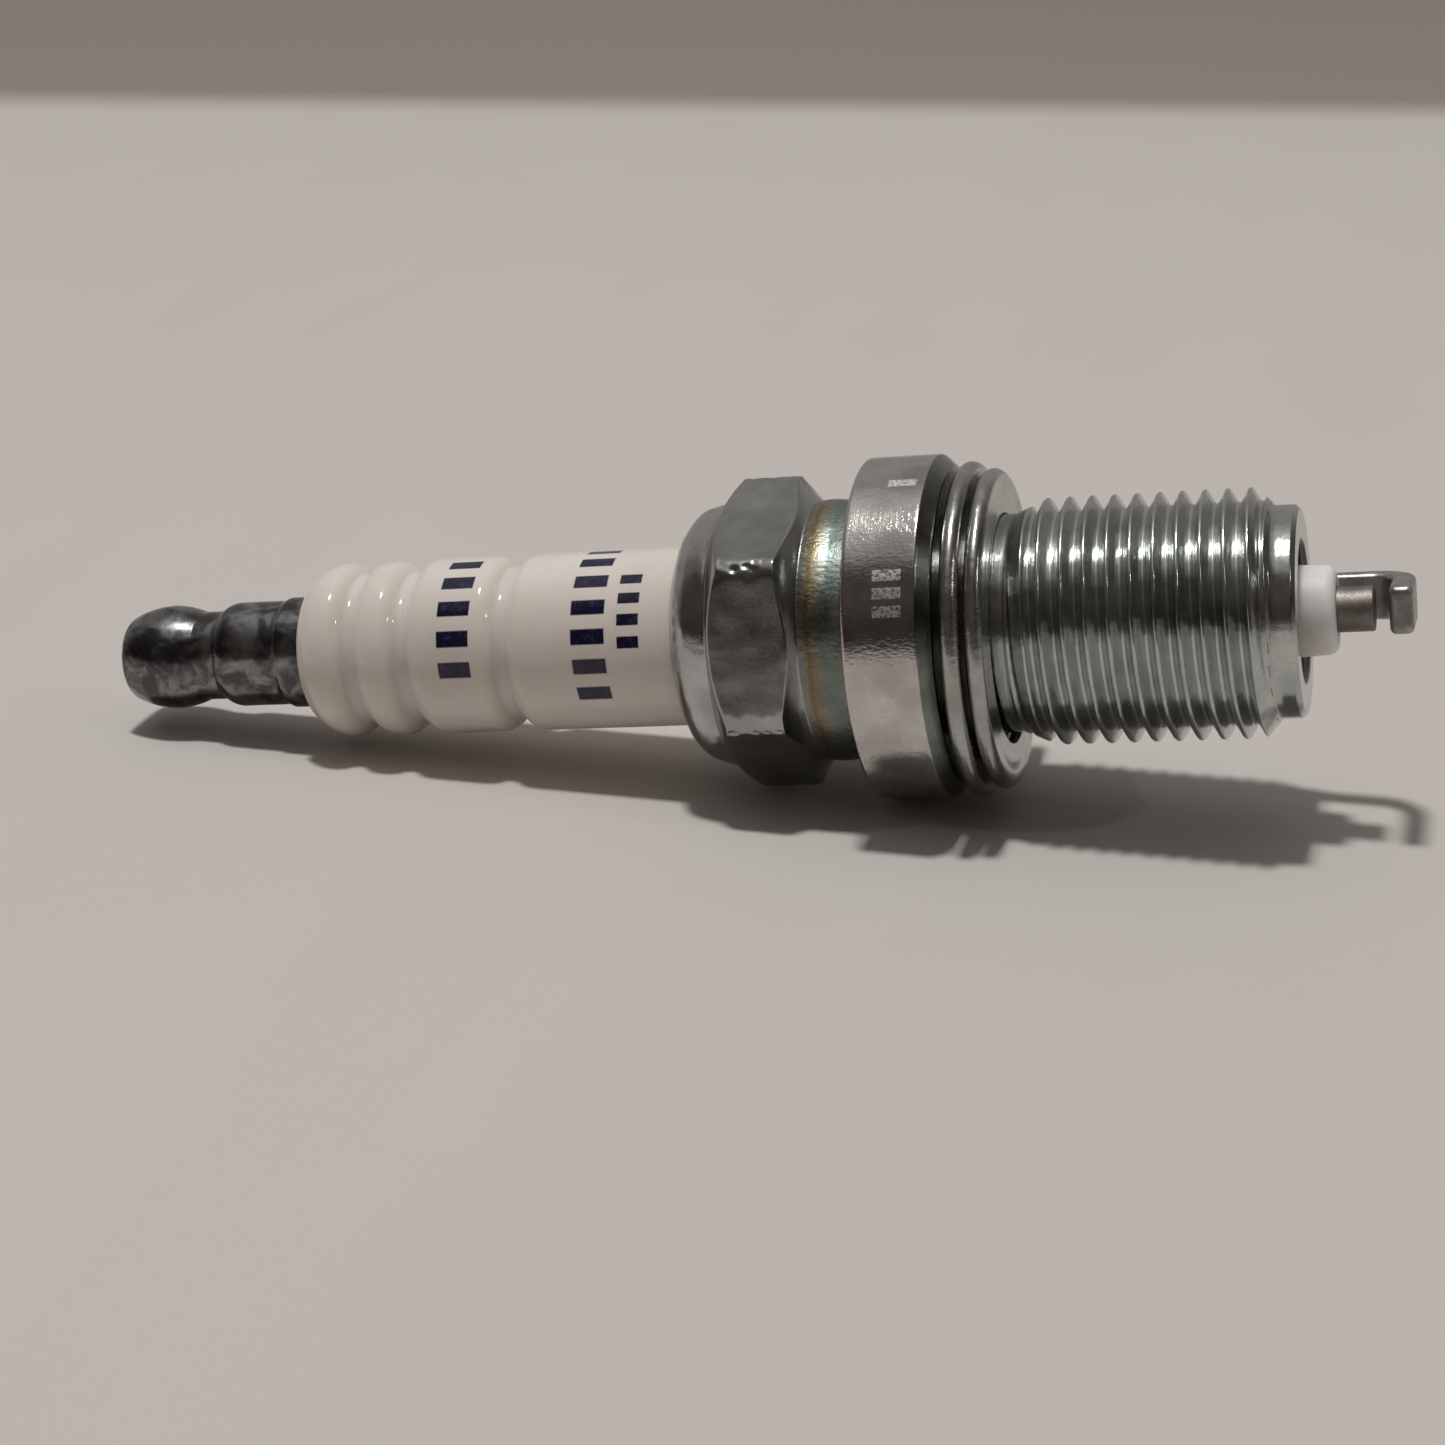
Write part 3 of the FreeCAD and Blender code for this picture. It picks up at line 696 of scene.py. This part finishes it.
def thread_surface():
    """Grid whose rows follow the helix, clamped to the two ends of the threaded length."""
    half = [0.0, 0.05, 0.1, 0.145, 0.2, 0.28, 0.36, 0.43, 0.48, 0.52, 0.55, 0.58, 0.605]
    one = np.array(sorted([-a for a in half[1:]] + half + [0.625]))
    lead = PITCH * shell_angles / (2 * math.pi)
    first = math.floor((BODY_LEFT - THREAD_START - PITCH - lead[0]) / PITCH) - 1
    last = math.ceil((BODY_RIGHT - THREAD_START - lead[0]) / PITCH) + 2
    s = np.concatenate([k * PITCH + one for k in range(first, last)])
    raw = s[:, None] + THREAD_START + lead[None, :]
    x = np.clip(raw, BODY_LEFT, BODY_RIGHT)
    envelope = np.interp(x, [BODY_LEFT, 5.2, 16.75, BODY_RIGHT], [RELIEF_R, CREST_R, CREST_R, PILOT_R])
    wobble = waves(9, 12, 0.3, 1.2)
    radius = np.minimum(envelope, groove_radius(s)[:, None])
    grid = np.stack([x, radius * np.cos(shell_angles), radius * np.sin(shell_angles)], 2)
    inside = (raw > BODY_LEFT + 0.3) & (raw < BODY_RIGHT - 0.3)
    radius = radius + wobble(grid) * 0.006 * inside
    grid[..., 1] = radius * np.cos(shell_angles)
    grid[..., 2] = radius * np.sin(shell_angles)
    rows, cols, per = len(s), len(shell_angles), len(one)
    faces = grid_faces(rows, cols, 0, closed_cols=False)
    i = np.arange(rows - per - 1)
    seam = np.stack([i * cols + cols - 1, (i + per) * cols, (i + per + 1) * cols,
                     (i + 1) * cols + cols - 1], 1)
    return grid.reshape(-1, 3), np.concatenate([faces, seam])


end_line = outline(
    (BODY_RIGHT, PILOT_R), (18.75, PILOT_R), (19.0, 5.63), (19.0, 4.1), (18.75, 3.85), (3.4, 3.85),
    (2.6, 4.9), (-5.1, 4.9), (-6.3, 6.05), (-14.45, 6.05), (-15.45, 5.32), (-15.72, 5.32))
end_line = dense(soften(end_line, 0.06), 0.6)

outer = loft()
thread_points, thread_faces = thread_surface()
inner = turned(end_line, shell_angles)
points = np.concatenate([outer.reshape(-1, 3), thread_points, inner.reshape(-1, 3)])
faces = np.concatenate([
    grid_faces(len(shell_line), len(shell_angles), 0),
    thread_faces + outer.shape[0] * outer.shape[1],
    grid_faces(len(end_line), len(shell_angles), len(points) - inner.shape[0] * inner.shape[1])])
body = build("shell_plated", points, faces)

crimp_steel = plated_steel("shell_crimp", (0.58, 0.585, 0.58), (0.40, 0.395, 0.385), 0.15, 0.008, 0.003,
                           0.020, 1.6)
hex_steel = plated_steel("shell_hex", (0.47, 0.485, 0.48), (0.38, 0.39, 0.385), 0.18, 0.003, 0.002,
                         0.005, 1.2)
neck_steel = plated_steel("shell_neck", (0.52, 0.53, 0.50), (0.29, 0.28, 0.25), 0.31, 0.012, 0.003,
                          0.014, 5.0, tint=heat_tint)
collar_steel = plated_steel("shell_collar", (0.68, 0.665, 0.64), (0.48, 0.46, 0.44), 0.13, 0.008, 0.005,
                            0.007, 7.0, etched=ETCHED)
# The chamfer and seat face get a dark green-grey base: painted dark reflection of the darker room on the +X
# side.
seat_steel_painted_reflection = plated_steel("shell_seat_face_painted_reflection", (0.26, 0.285, 0.27), (0.15, 0.165, 0.155), 0.20, 0.006, 0.003)
thread_steel = plated_steel("shell_thread", (0.62, 0.65, 0.63), (0.46, 0.485, 0.47), 0.17, 0.005, 0.006,
                            0.008, 2.2)
bore_steel = plated_steel("shell_bore", (0.34, 0.32, 0.30), (0.20, 0.18, 0.16), 0.35, 0.01, 0.004)
dress(body, "plug", "shell_plating", ["shell"], crimp_steel, hex_steel, neck_steel, collar_steel,
      thread_steel, bore_steel, seat_steel_painted_reflection)
BORE, SEAT = 5, 6
for face in body.data.polygons:
    x, r = face.center.x / MM, math.hypot(face.center.y, face.center.z) / MM
    if r < 4.0 or (x < 17.5 and r < 6.08 and x > -15.4):
        face.material_index = BORE
    # Chamfer and seat face take the material whose dark base colour is painted reflection.
    elif -0.74 < x < 0.05:
        face.material_index = SEAT
    else:
        face.material_index = int(np.searchsorted([-13.12, HEX_RIGHT, -4.93, 0.02], x))

# ---------------------------------------------------------------- gasket

RING_SAG = 0.3
half_turn = 0.525
gasket_line = outline(
    (0.38, 6.8), (0.38, 8.975), (1.43, 8.975, half_turn, 1), (1.43, 7.45), (1.63, 7.45, 0.1, -1),
    (1.63, 8.525), (2.68, 8.525, half_turn, 1), (2.68, 8.25), (2.64, 8.0),
    (2.64, 7.8), (2.67, 7.5), (2.67, 7.3), (2.64, 7.1), (2.64, 6.9), (2.67, 6.7), (2.67, 6.5),
    (2.28, 6.5), (2.28, 8.525), (2.03, 8.525, 0.125, -1), (2.03, 7.45), (1.03, 7.45, 0.5, 1), (1.03, 8.975),
    (0.78, 8.975, 0.125, -1), (0.78, 6.8))
gasket_line = dense(soften(gasket_line, 0.07, closed=True), 0.16, closed=True)
gasket_field = waves(17, 18, 0.1, 0.55)


def gasket_shape(grid):
    """Pressed sheet is a little wavy; the ring hangs below the plug's axis."""
    push = gasket_field(grid)
    radius = np.hypot(grid[..., 1], grid[..., 2])
    grow = 1 - np.abs(push) * 0.02 * (radius > 8.2) / radius
    grid[..., 1] *= grow
    grid[..., 2] *= grow
    grid[..., 2] -= RING_SAG
    return grid


ring = revolve("gasket_folded", gasket_line, 240, closed=True, shape=gasket_shape)
gasket_metal = plated_steel("gasket_plating", (0.56, 0.565, 0.55), (0.36, 0.36, 0.34), 0.20, 0.010, 0.006,
                            0.014, 2.4, streak=5.0)
dress(ring, "gasket_ring", "gasket_steel", ["gasket"], gasket_metal)

# ---------------------------------------------------------------- electrodes

electrode_line = outline(
    (-5.2, 0.72), (-5.2, 2.1), (-3.4, 2.1), (-2.5, 1.25), (22.72, 1.25), (22.8, 1.17), (22.8, 0.0),
    (20.22, 0.0), (20.22, 0.72))
electrode_line = dense(soften(electrode_line, 0.05), 0.4)
electrode = revolve("centre_electrode_wire", np.vstack([electrode_line, electrode_line[:1]]), 128)
centre_metal = nickel("nickel_wire", (0.27, 0.245, 0.225), (0.19, 0.17, 0.155), 0.50)
dress(electrode, "plug", "nickel_alloy", ["centre_electrode"], centre_metal)


def strap():
    """Ground electrode: rounded strip bent over the centre electrode."""
    half_thick, half_wide, round_r = 0.65, 1.325, 0.34
    foot_x, leg_r, bend_r = 19.0, 4.9, 1.9
    bend_x, tip_x, tip_r, tip_round = 22.35, 24.25, -0.95, 0.4
    section = []
    for sign_a, sign_b, start in ((1, 1, 0), (-1, 1, 90), (-1, -1, 180), (1, -1, 270)):
        for angle in range(start, start + 91, 18):
            section.append((sign_a * (half_thick - round_r) + round_r * math.cos(math.radians(angle)),
                            sign_b * (half_wide - round_r) + round_r * math.sin(math.radians(angle))))
    section = dense(np.array(section), 0.3, closed=True)
    stations = [(foot_x + 3.35 * k / 12, leg_r, 0.0) for k in range(13)]
    stations += [(bend_x + bend_r * math.sin(a), 3.0 + bend_r * math.cos(a), a)
                 for a in np.radians(np.arange(6, 91, 6))]
    stations += [(tip_x, 3.0 - 3.95 * k / 13, math.pi / 2) for k in range(1, 14)]
    stations += [(tip_x, tip_r - tip_round * math.sin(a), math.pi / 2)
                 for a in np.radians(np.arange(15, 91, 15))]
    rows = []
    for x, r, turn in stations:
        out = np.array([math.sin(turn), math.cos(turn)])
        past = min(max((tip_r - r) / tip_round, 0.0), 1.0)
        inset = 0.38 * (1 - math.sqrt(1 - past * past))
        thin, narrow = 1 - inset / half_thick, 1 - inset / half_wide
        rows.append([(x + a * thin * out[0], r + a * thin * out[1], b * narrow) for a, b in section])
    rows = np.array(rows)
    ends = [np.repeat(rows[k].mean(0)[None, None], len(section), 1) for k in (0, -1)]
    last = (rows[-1:] + ends[1]) / 2
    rows = np.concatenate([ends[0], rows, last, ends[1]])
    clock = math.radians(-8.5)
    y, z = rows[..., 1].copy(), rows[..., 2].copy()
    rows[..., 1] = y * math.cos(clock) - z * math.sin(clock)
    rows[..., 2] = y * math.sin(clock) + z * math.cos(clock)
    piece = build("ground_electrode_strap", rows.reshape(-1, 3),
                  grid_faces(rows.shape[0], rows.shape[1], 0))
    dress(piece, "plug", "nickel_alloy", ["ground_electrode"],
          nickel("nickel_strap", (0.46, 0.445, 0.43), (0.31, 0.295, 0.28), 0.36))


strap()

# ---------------------------------------------------------------- carried-over nodes

paint("terminal_stud", plated_steel("stud_plating", (0.50, 0.49, 0.47), (0.34, 0.33, 0.31), 0.25,
                                    0.008, 0.004))
glass = fired_glass("seal_glass_fused", (0.30, 0.24, 0.20), (0.12, 0.10, 0.09))
paint("upper_glass_seal", glass)
paint("lower_glass_seal", glass)
paint("resistor", fired_glass("resistor_fused", (0.10, 0.10, 0.11), (0.03, 0.03, 0.035)))
paint("copper_core", nickel("copper_drawn", (0.85, 0.45, 0.30), (0.62, 0.30, 0.19), 0.3))
rings_metal = plated_steel("ring_bare_steel", (0.45, 0.44, 0.42), (0.30, 0.29, 0.27), 0.3, 0.01, 0.004)
paint("packing_ring", rings_metal)
paint("seat_washer", rings_metal)

bpy.context.view_layer.update()
